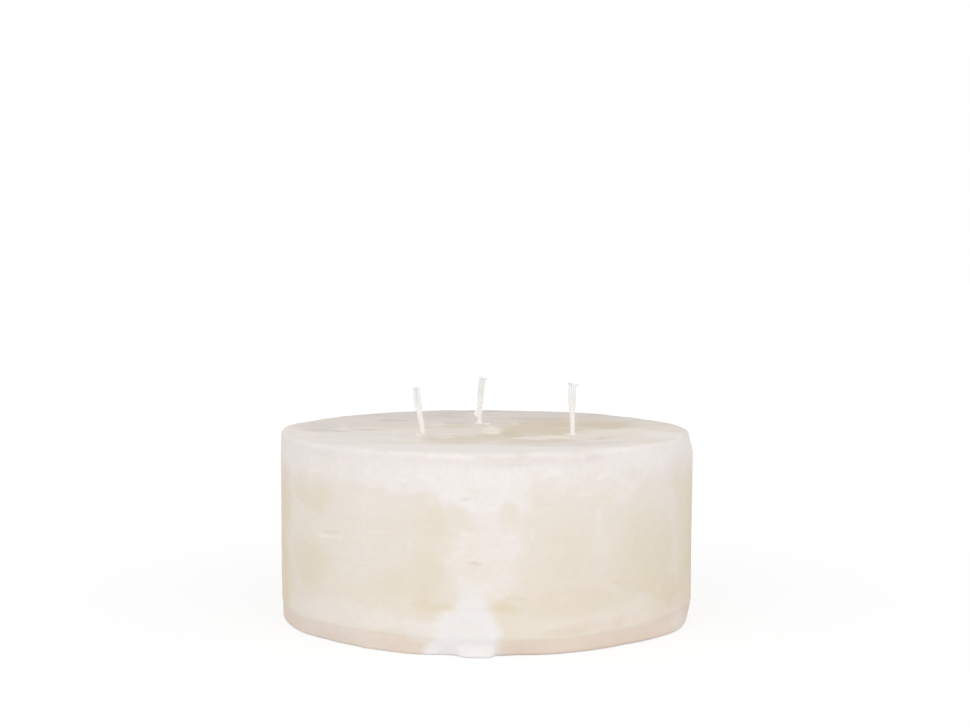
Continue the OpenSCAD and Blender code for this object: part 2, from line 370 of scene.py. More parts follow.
def far_side_strokes(count, seed):
    """Short strokes on the wall behind, nearly level, pale or dark by turns."""
    rng = np.random.default_rng(seed)
    places = rng.uniform(-WALL_TURN / 2, WALL_TURN / 2, count)
    places = places[np.abs(places) > FRONT_STROKES_END]
    rises = rng.uniform(LAP_Z + 4, TOP_Z - 2, len(places))
    lengths = rng.uniform(3, 12, len(places))
    tilts = rng.uniform(-0.08, 0.08, len(places))
    tones = np.where(np.arange(len(places)) % 2, 0.7, -0.5)
    ends = zip(tones, places, rises, places + lengths, rises + lengths * tilts)
    return tuple((tone, 0.7, (a0, b0), (a1, b1)) for tone, a0, b0, a1, b1 in ends)


# Names of the marks on the wax, each an attribute that its material reads
WAX_MARKS = ("frost", "amber", "run", "tone", "shade", "pool", "foot", "cream")
# Share of the light that runs inside the wax
WAX_GLOW = 0.2
# The front's marks, with more of the same kind on the far side
ALL_FROST = (
    FROST_PATCHES
    + far_side_patches(12, heights=(50, 68), half_width=18, half_height=8, seed=3)
    + far_side_patches(6, heights=(8, 40), half_width=16, half_height=4, seed=4)
)
ALL_AMBER = AMBER_AND_SIDE_SHADE_PATCHES + far_side_patches(9, heights=(12, 58), half_width=14, half_height=9, seed=5)
ALL_STROKES = STROKES + far_side_strokes(34, seed=6)


def outline_depth(a, b, points):
    """Distance inside a closed outline, below 0 outside: the nearest leg's, with a sign from legs crossed."""
    nearest = np.full(a.shape, np.inf)
    inside = np.zeros(a.shape, bool)
    for (a0, b0), (a1, b1) in itertools.pairwise((*points, points[0])):
        nearest = np.minimum(nearest, leg_distance(a, b, (a0, b0), (a1, b1)))
        on_left = (a - a0) * (b1 - b0) < (b - b0) * (a1 - a0)
        inside ^= ((b0 > b) != (b1 > b)) & (on_left == (b1 > b0))
    return np.where(inside, nearest, -nearest)


def run_depth(p):
    """Distance inside the edge of the white run, whose edge is stirred by clouds."""
    s = round_from_front(p) + 3 * clouds(p, 6, 4, 61)
    return outline_depth(s, p[..., 2] + 2.4 * clouds(p, 6, 4, 62), RUN_EDGE)


# Toe of the run on the floor: its height, and the distances round in which it begins and ends
TOE_TOP = 4.5
TOE_LEFT = (-11.5, -6.5)
TOE_RIGHT = (4.2, 0.8)


def run_relief(p):
    """How far the white run stands out: full inside its edge, thin at the top, with a toe on the floor."""
    s, z = round_from_front(p), p[..., 2]
    toe = smooth(TOE_TOP, 0, z) * smooth(*TOE_LEFT, s) * smooth(*TOE_RIGHT, s)
    full = 0.1 + 0.25 * smooth(22, 9, z) + 3.2 * toe + 0.25 * clouds(p, 7, 3, 63)
    return full * smooth(-0.6, 3, run_depth(p))


def stroke_tones(s, z):
    """Tones of the strokes at places on the wall, from -1 to 1, the strongest where some meet."""
    pale, dark = np.zeros(s.shape), np.zeros(s.shape)
    for tone, half_width, *points in ALL_STROKES:
        line = abs(tone) * stroke(s, z, points, half_width)
        if tone > 0:
            pale = np.maximum(pale, line)
        else:
            dark = np.maximum(dark, line)
    return pale - dark


def wall_marks(p):
    """Marks on the wall, from 0 to 1, and the tone of its strokes, from -1 to 1.

    Frost, amber, deep clear wax, the run and the foot's tone are patches and outlines whose places are
    stirred by clouds, with upright streaks of dripped wax. Amber and deep wax at the far left and right
    are painted shade, where the wall turns away from the light. Frost also gathers under the rim all
    round, and painted shade greys the rim's edge in front.
    """
    s, z = round_from_front(p), p[..., 2]
    stirred_s = s + 9 * clouds(p, 18, 4, 1)
    stirred_z = z + 7 * clouds(p, 13, 4, 2)
    grain = clouds(p, 5, 3, 3)
    drips = clouds(p * (1, 1, 0.22), 6, 3, 7)
    frost = patches(stirred_s, stirred_z, ALL_FROST, WALL_TURN)
    edge_s, edge_z = s + 5 * clouds(p, 9, 4, 4), z + 5 * clouds(p, 8, 4, 5)
    column = smooth(-3.5, 4, outline_depth(edge_s, edge_z, FROST_EDGE)) * through(FROST_STRENGTH, z)
    column = column * (1 - 0.35 * smooth(15, 80, np.abs(s)))
    under_rim = 0.5 * smooth(50, 66, stirred_z) + 0.3 * smooth(10, 58, z)
    frost = np.maximum(np.maximum(frost, column), under_rim) * (1 - patches(edge_s, edge_z, FROST_GAPS))
    amber = patches(stirred_s, stirred_z, ALL_AMBER, WALL_TURN) * (1 - column)
    broken = 0.55 + 0.45 * smooth(-0.12, 0.12, clouds(p, 2.5, 2, 37))
    run = smooth(-2, 2.5, run_depth(p)) * (0.9 - 0.5 * smooth(10, 22, z)) * (1 + 0.5 * grain)
    run = run * smooth(60, 70, np.hypot(p[..., 0], p[..., 1]))
    tongue = smooth(-13, -20, s) * smooth(4, 7, z)
    at_foot = smooth(2.2, 0.2, z - lap_heights(s / BODY_R) + 2 * grain)
    # Painted shade that greys the rim's edge in front, where the rounding catches more light
    rim_painted_shade = smooth(61, 66.5, z) * smooth(46, 36, s) * (1 + 2 * grain)
    return {
        "frost": np.clip(frost * (1 + (0.7 * grain + 0.5 * drips) * smooth(70, 56, z)), 0, 1),
        "amber": np.clip(amber * (1 + grain - 0.8 * drips), 0, 1),
        "run": np.clip(run * (1 - 0.5 * tongue), 0, 1),
        "tone": stroke_tones(s + 1.6 * clouds(p, 4, 3, 35), z + clouds(p, 3, 3, 36)) * broken,
        "shade": (0.13 + 0.13 * smooth(-12, 4, s)) * rim_painted_shade,
        "pool": patches(stirred_s, stirred_z, DEEP_WAX_AND_SIDE_SHADE_PATCHES, WALL_TURN) * (1 + grain - 0.8 * drips),
        "foot": np.maximum(at_foot, patches(edge_s, edge_z, FOOT_TONES, WALL_TURN) * (1 + 2 * grain)),
    }


# Shares of its half widths between which a mark with a crisp edge fades
CRISP_FADE = (1.2, 0.7)


def top_marks(p):
    """Marks on the top: the clear pool, frost in front whose ring cream lightens as painted light,
    painted shade behind, and flakes, streaks and flecks.

    The edges of flakes and streaks are stirred by small clouds, and all of it is drawn out to the sides.
    """
    x = p[..., 0] + 6 * clouds(p, 12, 3, 11)
    y = p[..., 1] + 9 * clouds(p, 12, 3, 12)
    sideways = p * (0.35, 1, 1)
    grain = clouds(sideways, 6, 4, 13)
    pale_flecks = smooth(0.06, 0.2, clouds(sideways, 5, 3, 14))
    dark_flecks = smooth(0.08, 0.2, clouds(sideways, 5, 3, 15))
    edge_x, edge_y = p[..., 0] + 4 * clouds(p, 5, 3, 16), p[..., 1] + 9 * clouds(p, 6, 3, 17)
    flakes = patches(edge_x, edge_y, TOP_FLAKES, fade=CRISP_FADE)
    pool = np.clip(patches(x, y, POOL_PATCHES) * (1 + 0.4 * grain), 0, 1)
    # Painted shade: grey that deepens towards the far side
    far = through(TOP_SHADE, y)
    nearer = 4 * smooth(-5, 10, x) * smooth(55, 40, x) + 14 * clouds(sideways, 6, 3, 18)
    front = through(TOP_FROST, y + nearer) + 0.15 * smooth(-20, -45, x)
    front = np.maximum(front, patches(x, y, TOP_FROST_PATCHES))
    # The ring in front gets cream over its frost, painted light that lightens the front of the top
    ring = smooth(0.45, 0.8, front)
    streaks = patches(edge_x, edge_y, SHADE_PATCHES, fade=CRISP_FADE)
    far = far * (1 - patches(x, y, SHADE_GAPS))
    shade = np.maximum(streaks, far * (1 - 0.6 * pool)) + 0.35 * dark_flecks * (1 - ring) * (1 - 0.6 * pool)
    frost = front * (1 - 0.85 * pool) * (1 + 0.9 * grain) + 0.35 * pale_flecks * (1 - 0.9 * pool)
    return {
        "frost": np.clip(frost * (1 - flakes), 0, 1),
        "shade": np.clip(shade * (1 - flakes), 0, 1),
        "pool": pool * (1 - 0.3 * far),
        "cream": np.clip(np.maximum(flakes, 0.25 * ring) * (1 + 0.8 * grain), 0, 1),
    }


# Radii and heights between which the wall's marks give way to the top's
LID_RADII = (BODY_R - 0.8, BODY_R - 2.6)
LID_HEIGHTS = (TOP_Z - 2.4, TOP_Z - 1)


def wax_marks(p):
    """All marks anywhere on the wax: the top's inside the rim, and the wall's elsewhere."""
    inside = smooth(*LID_RADII, np.hypot(p[..., 0], p[..., 1]))
    lid = inside * smooth(*LID_HEIGHTS, p[..., 2])
    wall, top = wall_marks(p), top_marks(p)
    return {name: wall.get(name, 0) * (1 - lid) + top.get(name, 0) * lid for name in WAX_MARKS}


def add_object(name, points, quads, triangles=()):
    """New object with smooth faces from arrays of points, in millimetres, and of corner numbers."""
    triangles = np.reshape(np.array(triangles, np.int32), (-1, 3))
    corners = np.concatenate([np.ravel(quads), np.ravel(triangles)]).astype(np.int32)
    sizes = np.repeat([4, 3], [len(quads), len(triangles)])
    mesh = bpy.data.meshes.new(name)
    mesh.vertices.add(len(points))
    mesh.vertices.foreach_set("co", np.ravel(points * MM).astype(np.float32))
    mesh.loops.add(len(corners))
    mesh.loops.foreach_set("vertex_index", corners)
    mesh.polygons.add(len(sizes))
    mesh.polygons.foreach_set("loop_start", np.cumsum(sizes) - sizes)
    mesh.update(calc_edges=True)
    mesh.validate()
    mesh.shade_smooth()
    piece = bpy.data.objects.new(name, mesh)
    bpy.context.scene.collection.objects.link(piece)
    return piece


def grid_quads(rings, columns):
    """Corner numbers of the faces between neighbouring rings, each of which closes on itself."""
    ring, column = np.meshgrid(np.arange(rings - 1) * columns, np.arange(columns), indexing="ij")
    beside = (column + 1) % columns
    corners = [ring + column, ring + beside, ring + columns + beside, ring + columns + column]
    return np.stack(corners, axis=-1).reshape(-1, 4)


def closed_form(grid):
    """Points, quads and triangles of a stack of rings whose first and last ring close to a middle point."""
    rings, columns = grid.shape[:2]
    points = np.concatenate([grid.reshape(-1, 3), [grid[0].mean(0)], [grid[-1].mean(0)]])
    here = np.arange(columns)
    beside = (here + 1) % columns
    low = np.stack([beside, here, np.full(columns, rings * columns)], axis=-1)
    high_ring = (rings - 1) * columns
    high = np.stack([high_ring + here, high_ring + beside, np.full(columns, rings * columns + 1)], axis=-1)
    return points, grid_quads(rings, columns), np.concatenate([low, high])


def joined_forms(forms):
    """Several (points, quads, triangles) as one."""
    counts = np.cumsum([0] + [len(points) for points, _, _ in forms])
    points = np.concatenate([form[0] for form in forms])
    quads = np.concatenate([form[1] + n for form, n in zip(forms, counts)])
    triangles = np.concatenate([form[2] + n for form, n in zip(forms, counts)])
    return points, quads, triangles


def set_attribute(piece, name, values):
    """One number for each vertex of a piece, which its material reads by name."""
    attribute = piece.data.attributes.new(name, "FLOAT", "POINT")
    attribute.data.foreach_set("value", np.asarray(values, np.float32))


def vertex_places(piece):
    """Places of a piece's vertices, in millimetres."""
    flat = np.empty(len(piece.data.vertices) * 3, np.float32)
    piece.data.vertices.foreach_get("co", flat)
    return flat.reshape(-1, 3).astype(float) / MM


def wick_place(name):
    """Where a wick comes out of the top: the middle of its seal."""
    low, high = node_box("wick_seal_" + name)
    return (low + high)[:2] / 2


def cut_wick_rooms(piece, steps):
    """Cuts the room of every wick out of a piece: a turned form of (radius, height) steps at each place."""
    turn = angles_round(ROOM_SIDES)
    room = np.array([turned(r, turn, z) for r, z in steps])
    forms = [closed_form(room + (*wick_place(name), 0)) for name in WICK_NAMES]
    cutter = add_object(piece.name + "_rooms", *joined_forms(forms))
    cut = piece.modifiers.new("wick rooms", "BOOLEAN")
    cut.object = cutter
    cut.solver = "EXACT"
    graph = bpy.context.evaluated_depsgraph_get()
    mesh = bpy.data.meshes.new_from_object(piece.evaluated_get(graph))
    piece.modifiers.clear()
    piece.data = mesh
    bpy.data.objects.remove(cutter)


def finish_piece(piece, material, slot, *nodes):
    """Gives a piece its material and its body, and hides the CAD nodes that it stands for. Its slot is not
    used.
    """
    piece.data.materials.clear()
    piece.data.materials.append(material)
    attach(piece, "root")
    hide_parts(*nodes)


def add_node(tree, kind, inputs=None, **settings):
    """New shader node with some settings, whose inputs are linked where given a socket and else set."""
    node = tree.nodes.new("ShaderNode" + kind)
    for name, value in settings.items():
        setattr(node, name, value)
    for name, value in (inputs or {}).items():
        if isinstance(value, NodeSocket):
            tree.links.new(value, node.inputs[name])
        else:
            node.inputs[name].default_value = value
    return node


def mixed(tree, share, first, second):
    """Colour between two, by a share."""
    both = {0: share, 6: first, 7: second}
    return add_node(tree, "Mix", both, data_type="RGBA").outputs[2]


def maths(tree, operation, first, second, clamp=False):
    """Result of a sum, product or the like."""
    return add_node(tree, "Math", {0: first, 1: second}, operation=operation, use_clamp=clamp).outputs[0]


def scaled(tree, value, gain, more, clamp=False):
    """A value times a gain, plus more."""
    return maths(tree, "ADD", maths(tree, "MULTIPLY", value, gain), more, clamp)


def noise_value(tree, vector, scale, detail, roughness=0.5):
    """Cloudy value of a noise texture, from 0 to 1."""
    inputs = {"Vector": vector, "Scale": scale, "Detail": detail, "Roughness": roughness}
    return add_node(tree, "TexNoise", inputs).outputs["Fac"]


def attribute(tree, name):
    """A piece's own attribute as a value."""
    return add_node(tree, "Attribute", attribute_name=name).outputs["Fac"]


def opaque(colour):
    """A colour with its fourth value."""
    return (*colour, 1.0)


def new_material(name):
    """Empty material with its output node."""
    material = bpy.data.materials.new(name)
    material.use_nodes = True
    material.node_tree.nodes.clear()
    return material, material.node_tree, add_node(material.node_tree, "OutputMaterial")


def add_surface(tree, out, skin, bump, depth, inputs):
    """Principled surface with some inputs, bumped by a skin's height, at a material's output."""
    skin = add_node(tree, "Bump", {"Height": skin, "Strength": bump, "Distance": depth})
    surface = add_node(tree, "BsdfPrincipled", {"Normal": skin.outputs["Normal"], **inputs})
    tree.links.new(surface.outputs["BSDF"], out.inputs["Surface"])


def wax_grain_group():
    """Shared grain of cast wax: slow clouds, small crystals, level drag lines, and the height of its skin."""
    group = bpy.data.node_groups.new("Wax grain", "ShaderNodeTree")
    face = group.interface
    size = face.new_socket("Crystal size", in_out="INPUT", socket_type="NodeSocketFloat")
    size.default_value = 1.0
    for name in ("Clouds", "Crystals", "Drags", "Skin"):
        face.new_socket(name, in_out="OUTPUT", socket_type="NodeSocketFloat")
    start = group.nodes.new("NodeGroupInput")
    end = group.nodes.new("NodeGroupOutput")
    place = add_node(group, "TexCoord").outputs["Object"]
    flattened = add_node(group, "Mapping", {"Vector": place, "Scale": (0.12, 0.12, 1.0)}).outputs["Vector"]

    def layer(vector, scale, detail, roughness):
        per_metre = maths(group, "DIVIDE", scale, start.outputs["Crystal size"])
        return noise_value(group, vector, per_metre, detail, roughness)

    cloud = layer(place, scale=110, detail=4, roughness=0.6)
    crystal = layer(place, scale=520, detail=3, roughness=0.65)
    drag = layer(flattened, scale=480, detail=3, roughness=0.6)
    pore = layer(place, scale=1500, detail=2, roughness=0.5)
    skin = scaled(group, pore, gain=0.25, more=maths(group, "MULTIPLY", crystal, 0.6))
    skin = scaled(group, drag, gain=0.3, more=skin)
    for name, value in (("Clouds", cloud), ("Crystals", crystal), ("Drags", drag), ("Skin", skin)):
        group.links.new(value, end.inputs[name])
    return group


def wax_grain(tree, size):
    """The shared grain, placed in a material with its own crystal size."""
    group = bpy.data.node_groups.get("Wax grain") or wax_grain_group()
    node = tree.nodes.new("ShaderNodeGroup")
    node.node_tree = group
    node.inputs["Crystal size"].default_value = size
    return node.outputs


def toned(tree, grain, colour):
    """A wax colour made a little lighter and darker by the crystals and the drag lines."""
    light = scaled(tree, grain["Crystals"], gain=0.06, more=0.955)
    light = scaled(tree, grain["Drags"], gain=0.03, more=light)
    return add_node(tree, "VectorMath", {0: colour, "Scale": light}, operation="SCALE").outputs[0]


def wax_shader(tree, out, wax, grain, colour, roughness, glow):
    """Translucent wax of a given colour and roughness, both from nodes, and a given share of glow inside."""
    add_surface(tree, out, grain["Skin"], bump=0.25, depth=0.0003, inputs={
        "Base Color": toned(tree, grain, colour),
        "Roughness": roughness,
        "IOR": 1.44,
        "Specular IOR Level": 0.1,
        "Subsurface Weight": glow,
        "Subsurface Radius": (1.0, 0.72, 0.45),
        "Subsurface Scale": wax.glow_depth,
    })


def mottled_wax(wax, name, glow):
    """Wax of the body and the seals: ivory, clear amber, the top's clear pool, frost, white pours, painted
    shade and light.
    """
    material, tree, out = new_material(name)
    grain = wax_grain(tree, 1.0)
    cloud = maths(tree, "SUBTRACT", grain["Clouds"], 0.5)
    crystal = maths(tree, "SUBTRACT", grain["Crystals"], 0.5)

    def varied(mark, by, reach):
        return maths(tree, "MULTIPLY", attribute(tree, mark), scaled(tree, by, reach, 1.0), clamp=True)

    frost = varied("frost", crystal, 0.5)
    pool = varied("pool", cloud, 0.6)
    tone = attribute(tree, "tone")
    colour = mixed(tree, grain["Clouds"], opaque(wax.ivory_deep), opaque(wax.ivory))
    for share, over in (
        (scaled(tree, cloud, 0.35, attribute(tree, "amber"), clamp=True), wax.amber),
        (pool, wax.pool),
        (frost, wax.frost),
        (varied("shade", cloud, 1.0), wax.shade),
        (attribute(tree, "cream"), wax.cream),
        (attribute(tree, "foot"), wax.base),
        (attribute(tree, "run"), wax.pour),
        (maths(tree, "MULTIPLY", tone, -0.5, clamp=True), wax.groove),
        (maths(tree, "MULTIPLY", tone, 0.48, clamp=True), wax.fleck),
    ):
        colour = mixed(tree, share, colour, opaque(over))
    dull = scaled(tree, maths(tree, "SUBTRACT", frost, pool), gain=0.08, more=0.5)
    roughness = scaled(tree, grain["Crystals"], gain=0.16, more=dull)
    wax_shader(tree, out, wax, grain, colour, roughness, glow)
    return material


def base_wax(wax):
    """Wax of the second pour: darker and plainer."""
    material, tree, out = new_material("base_wax")
    grain = wax_grain(tree, 1.3)
    colour = mixed(tree, grain["Clouds"], opaque(wax.base_deep), opaque(wax.base))
    colour = mixed(tree, attribute(tree, "run"), colour, opaque(wax.pour))
    roughness = scaled(tree, grain["Crystals"], gain=0.2, more=0.48)
    wax_shader(tree, out, wax, grain, colour, roughness, WAX_GLOW)
    return material


def rim_sizes(phi, wax):
    """Rim rounding and hand trim round the candle: through their places, made uneven by clouds."""
    uneven = 1 + clouds(turned(BODY_R, phi, 0), 16, 3, 21)
    at, rounding, trim = zip(*RIM_SHAPE)
    rounding = wax.rim_rounding / MM * uneven * np.interp(BODY_R * phi, at, rounding)
    return rounding, wax.trim_depth / MM * uneven * np.interp(BODY_R * phi, at, trim)


# Distances round in which the lap's front gives way to its far side
LAP_FRONT_END = (88, 112)
# Distances round in which the white run begins and ends at the lap
RUN_LEFT = (-19, -13)
RUN_RIGHT = (6, 1)


def lap_heights(phi):
    """Height of the first pour's lower edge: through its places in front, and nearly level behind."""
    s = BODY_R * phi
    place = turned(BODY_R, phi, 0)
    far = LAP_Z - 1.3 + 1.2 * clouds(place, 24, 2, 22)
    front = through(LAP_EDGE, s) + 0.5 * clouds(place, 7, 3, 23)
    return front + (far - front) * smooth(*LAP_FRONT_END, np.abs(s))


def foot_wall(phi, z, wax):
    """Radius of the foot's wall at a height: less on the left, and swollen or drawn in near the floor."""
    swell = through(FOOT_SWELL, BODY_R * phi) * smooth(6, 0, z)
    return BASE_R + wax.foot_proud / MM - 0.25 * smooth(0.6, 1, -np.sin(phi)) + swell


def run_share(phi):
    """Share of the lap that the white run covers, where the two pours join without a mark."""
    s = BODY_R * phi
    return smooth(*RUN_LEFT, s) * smooth(*RUN_RIGHT, s)


def slow_waves(p):
    """Unevenness of a cast wall, the same for both pours."""
    return 0.3 * clouds(p, 30, 2, 31) + 0.26 * clouds(p, 8, 3, 32)


def pits(a, b, spots):
    """Depth of small round bubbles' pits at places (a, b)."""
    depth = np.zeros(a.shape)
    for a0, b0, radius, deep in spots:
        depth = np.maximum(depth, deep * smooth(1, 0.3, np.hypot(a - a0, b - b0) / radius))
    return depth


def scattered_pits(count, low, high, seed):
    """Places, radii and depths of bubbles' pits between two corners."""
    rng = np.random.default_rng(seed)
    places = rng.uniform(low, high, (count, 2))
    radius = rng.uniform(0.5, 1.1, count)
    return tuple((*place, r, 0.28 * r) for place, r in zip(places, radius))


def wall_relief(p, marks):
    """Height of the wall's skin: waves, drag marks, pits, strokes, and the thickness of frost and run."""
    s, z = round_from_front(p), p[..., 2]
    along = np.stack([s / 9, z * 1.6, np.zeros(s.shape)], -1)
    drag = smooth(0.12, 0.3, clouds(along, 2.2, 2, 33)) * smooth(0.0, 0.2, clouds(p, 16, 2, 34))
    bubbles = pits(s, z, scattered_pits(80, (-WALL_TURN / 2, LAP_Z + 3), (WALL_TURN / 2, TOP_Z - 3), 36))
    frost = 0.14 * smooth(0.3, 0.75, marks["frost"])
    return slow_waves(p) - 0.15 * drag + 0.14 * marks["tone"] - bubbles + frost + run_relief(p)


def top_relief(p, marks):
    """Height of the top's skin: sunk a little in the middle, with waves and the edges of frost."""
    sunk = 0.3 + 0.5 * smooth(0.95, 0.5, np.hypot(p[..., 0], p[..., 1]) / BODY_R)
    waves = 0.35 * clouds(p, 34, 2, 41) + 0.25 * clouds(p, 9, 3, 42)
    lifts = [high * patches(p[..., 0], p[..., 1], ((*ellipse, 1),)) for *ellipse, high in TOP_LIFTS]
    return waves - sunk + sum(lifts) + 0.1 * smooth(0.3, 0.7, marks["frost"])


# Rings of the body: shares of its radius underneath, and counts where it eases to the foot and over the rim
UNDER_SHARES = (0.02, 0.4, 0.7, 0.85, 0.97)
EASE_RINGS = 14
RIM_RINGS = 10
# Rings of the base: under the foot, round its lower edge, up its wall, and in over its top
FOOT_RINGS = 12
EDGE_RINGS = 8
BAND_RINGS = 20
BAND_TOP_RINGS = 4
# How far the base goes up inside the body
BASE_OVERLAP = 4


def ring_values(phi, *values):
    """A ring's values at every angle, where a single number is the same all round."""
    return np.stack(np.broadcast_arrays(*values, phi)[:-1], -1)


def body_grid(wax):
    """Rings of the pillar from under its lower edge, up the wall, over the rim and in across the top.

    A ring is a circle of the profile's radius at its height. The profile is a wall that the hand trim
    slopes in towards the rim, a rim rounding and a flat top. Low down the wall eases to the foot's, and
    its edge dives into the foot band, so that the two waxes meet without a step. Each point then moves
    by the relief along the profile's own normal.
    """
    phi = np.linspace(-math.pi, math.pi, wax.columns, endpoint=False)
    rounding, trim = rim_sizes(phi, wax)
    wall_r = BODY_R + through(WALL_SWELL, BODY_R * phi)
    lap_z = lap_heights(phi)
    dive = 0.3 - 0.2 * run_share(phi)
    taper = 0.55 * smooth(0.3, 1, np.sin(phi))
    level_z = 16 - 6 * np.sin(phi)
    rows = []

    def add_row(radius, height, normal_r, normal_z):
        rows.append(ring_values(phi, radius, height, normal_r, normal_z))

    lap_r = foot_wall(phi, lap_z, wax) - dive
    for share in UNDER_SHARES:
        height = LAP_Z + (lap_z - LAP_Z) * smooth(0.8, 0.97, share)
        add_row(lap_r * share, height, 0, -1)
    high = TOP_Z - rounding
    heights = [lap_z + (level_z - lap_z) * share for share in np.linspace(0, 1, EASE_RINGS)]
    heights += [level_z + (high - level_z) * share for share in np.linspace(0, 1, wax.wall_rings)[1:]]
    for z in heights:
        slope = smooth(TOP_Z - wax.trim_height / MM, TOP_Z, z)
        radius = wall_r - taper * (high - z) / (high - lap_z) - trim * slope
        foot_r = foot_wall(phi, z, wax) - dive + 1.8 * dive * smooth(0, 2.6, z - lap_z)
        add_row(radius + (foot_r - radius) * smooth(level_z, 6, z), z, 1, 0)
    rim_r = wall_r - trim * smooth(TOP_Z - wax.trim_height / MM, TOP_Z, high)
    for a in np.radians(np.linspace(0, 90, RIM_RINGS))[1:]:
        radius = rim_r - rounding + rounding * math.cos(a)
        add_row(radius, TOP_Z - rounding + rounding * math.sin(a), math.cos(a), math.sin(a))
    for share in np.linspace(1, 0.008, wax.top_rings)[1:]:
        add_row((rim_r - rounding) * share, TOP_Z, 0, 1)
    radius, height, normal_r, normal_z = np.moveaxis(np.stack(rows), -1, 0)
    p = turned(radius, phi, height)
    marks = wax_marks(p)
    lid = np.clip(normal_z, 0, 1)
    relief = wall_relief(p, marks) * (1 - lid) + top_relief(p, marks) * lid
    relief = np.where(normal_z < -0.99, 0, relief)
    return turned(radius + relief * normal_r, phi, height + relief * normal_z)


def base_grid(wax):
    """Rings of the second pour from the middle of its foot, round its lower edge and up its wall.

    A ring is a circle of the profile's radius at its height, moved out by slow waves and by the white run.
    Past the lap the wall draws in, and the top closes inside the body, so that no gap shows.
    """
    phi = np.linspace(-math.pi, math.pi, wax.columns, endpoint=False)
    place = turned(BODY_R, phi, 0)
    right = smooth(0.2, 0.9, np.sin(phi))
    edge = wax.foot_rounding / MM * (1 + 0.4 * right + 0.8 * clouds(place, 30, 2, 51))
    high = LAP_Z + BASE_OVERLAP
    rows = []

    def add_row(radius, height, normal_r, outside):
        rows.append(ring_values(phi, radius, height, normal_r, outside))

    for share in np.linspace(0.02, 1, FOOT_RINGS):
        add_row((foot_wall(phi, 0, wax) - edge) * share, 0, 0, float(share > 0.99))
    for a in np.radians(np.linspace(-90, 0, EDGE_RINGS))[1:]:
        z = edge + edge * math.sin(a)
        add_row(foot_wall(phi, z, wax) - edge + edge * math.cos(a), z, math.cos(a), 1)
    for share in np.linspace(0, 1, BAND_RINGS)[1:]:
        z = edge + (high - edge) * share
        add_row(foot_wall(phi, z, wax), z, 1, 1)
    for share in np.linspace(0.96, 0.02, BAND_TOP_RINGS):
        add_row(foot_wall(phi, high, wax) * share, high, 0, 0)
    radius, height, normal_r, outside = np.moveaxis(np.stack(rows), -1, 0)
    p = turned(radius, phi, height)
    drawn_in = (0.4 - 0.3 * run_share(phi)) * smooth(LAP_Z - 0.9, LAP_Z + 1.7, height)
    return turned(radius + slow_waves(p) * normal_r + (run_relief(p) - drawn_in) * outside, phi, height)


def level_ways(toward):
    """Level direction at an angle from +X, in degrees, and the one a quarter turn on."""
    angle = math.radians(toward)
    out = np.array([math.cos(angle), math.sin(angle), 0])
    return out, np.array([-out[1], out[0], 0])


# Rings of a wick in its hole, and the share of its free length in which it bends over to its lean
BURIED_RINGS = 70
BEND_SHARE = 0.2


def wick_line(name, wick):
    """Centre line of a wick with its directions along, across and aside, and the share of its free length.

    It stands straight in its hole up to the seal, then bends over to its lean and eases to the lean of its
    tip, by steps of one length in the direction that the lean gives.
    """
    low, high = node_box("wick_" + name)
    foot_z = node_box("wick_seal_" + name)[1][2]
    foot_lean, tip_lean, toward = WICK_LEANS[name]
    u = np.linspace(0, 1, wick.rings)
    tilt = np.radians(np.interp(u, (0, BEND_SHARE, 1), (0, foot_lean, tip_lean)))
    length = (high[2] - foot_z) / np.cos(tilt).mean()
    buried_z = np.linspace(low[2], foot_z, BURIED_RINGS, endpoint=False)
    tilt = np.concatenate([np.zeros(BURIED_RINGS), tilt])[:, None]
    u = np.concatenate([(buried_z - foot_z) / length, u])
    out, aside = level_ways(toward)
    up = np.array([0, 0, 1])
    along = np.sin(tilt) * out + np.cos(tilt) * up
    across = np.cos(tilt) * out - np.sin(tilt) * up
    start = np.array([*wick_place(name), low[2]])
    line = start + np.cumsum(along * np.diff(u, prepend=u[0])[:, None], axis=0) * length
    return line, along, across, np.broadcast_to(aside, along.shape), u, length


# Shares of a wick's free length: where its coat ends, where its plait stops turning, where its turn is given
COAT_END = (0.36, 0.62)
PLAIT_END = (0.3, 0.5)
TURN_GIVEN = 0.85


def strand_centres(name, wick):
    """Places of the three strands across and aside of a wick's line, and a strand's dryness and half width.

    A strand swings across by the sine of its turn and aside by the sine of twice its turn, a third of a turn
    from the next. Where the plait is dry the turn nearly stops, so the strands run side by side. Below, a
    coat of wax thickens them, and the plait grows slimmer towards its foot.
    """
    u, length = wick_line(name, wick)[4:]
    dry_width, left, right, _ = WICK_ENDS[name]
    dry = smooth(*COAT_END, u)
    rate = 2 * math.pi / (wick.pitch / MM) * (1 - 0.97 * smooth(*PLAIT_END, u))
    turn = np.cumsum(rate * np.diff(u, prepend=u[0]) * length)
    turn = turn - np.interp(TURN_GIVEN, u, turn) + math.radians(WICK_TURNS[name])
    strand = wick.strand / MM
    coated = strand + 2 * wick.coat / MM
    slim = 0.84 + 0.16 * smooth(-0.1, 0.4, u)
    half = 0.5 * (coated * slim * (1 - dry) + strand * dry)
    end = 0.25 * min(left + right, 1) * smooth(1.2, 0, (1 - u) * length) ** 2
    bound_across = slim * (wick.width / MM - coated) / 2
    bound_aside = slim * (wick.thickness / MM - coated) / 2
    swing_across = bound_across * (1 - dry) + (dry_width - strand) / 1.7 * dry + end
    swing_aside = bound_aside * (1 - dry) + 0.35 * dry + end
    thirds = turn + 2 * math.pi / 3 * np.arange(3)[:, None]
    return swing_across * np.sin(thirds), swing_aside * np.sin(2 * thirds), dry, half


# A strand: sides of its section, plies, and the length of wick in which these twist once
STRAND_SIDES = 20
PLIES = 5
PLY_TWIST = 3.4


